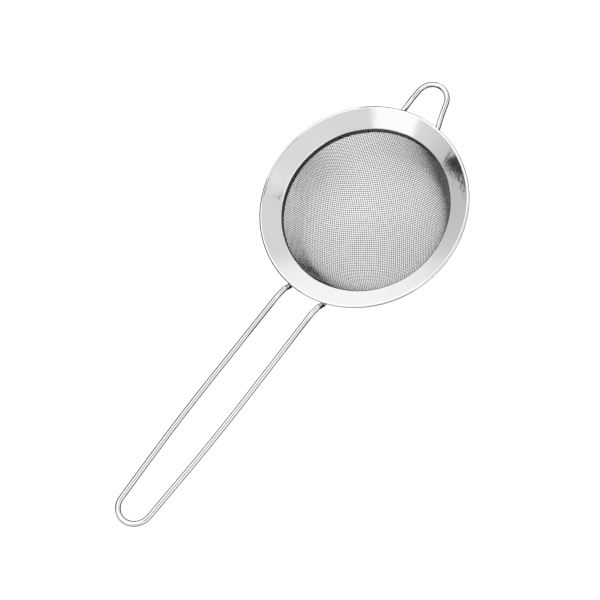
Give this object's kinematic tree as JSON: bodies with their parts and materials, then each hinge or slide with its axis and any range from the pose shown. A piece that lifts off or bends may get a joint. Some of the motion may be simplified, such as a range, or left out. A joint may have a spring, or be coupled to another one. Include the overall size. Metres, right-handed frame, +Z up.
{
  "type": "flour sifter",
  "caption": "Round fine-mesh strainer with a wide conical rim, a long wire loop handle and a small wire rest hook, all stainless steel.",
  "frame": {"origin": "centre of the mouth: on the rim's axis, at mid-height of its cylindrical collar", "axes": "+Z up out of the mouth along the rim's axis; +X along the handle, away from the bowl; the rest hook points to -X; +Y to the left as seen from the bowl looking along the handle"},
  "size_m": [0.2415, 0.0974, 0.084],
  "materials": {
    "rim_steel": "mirror-polished stainless steel",
    "ring_steel": "satin stainless steel, as rolled",
    "mesh_steel": "bright woven stainless wire cloth, plain weave",
    "wire_steel": "polished stainless wire",
    "weld_steel": "cleaned resistance weld, slightly dull"
  },
  "bodies": {
    "root": {"rim": "rim_steel", "retaining_ring": "ring_steel", "mesh_bowl": "mesh_steel", "handle_loop": "wire_steel", "rest_hook": "wire_steel", "handle_weld_left": "weld_steel", "handle_weld_right": "weld_steel", "hook_weld_left": "weld_steel", "hook_weld_right": "weld_steel"}
  },
  "joints": []
}
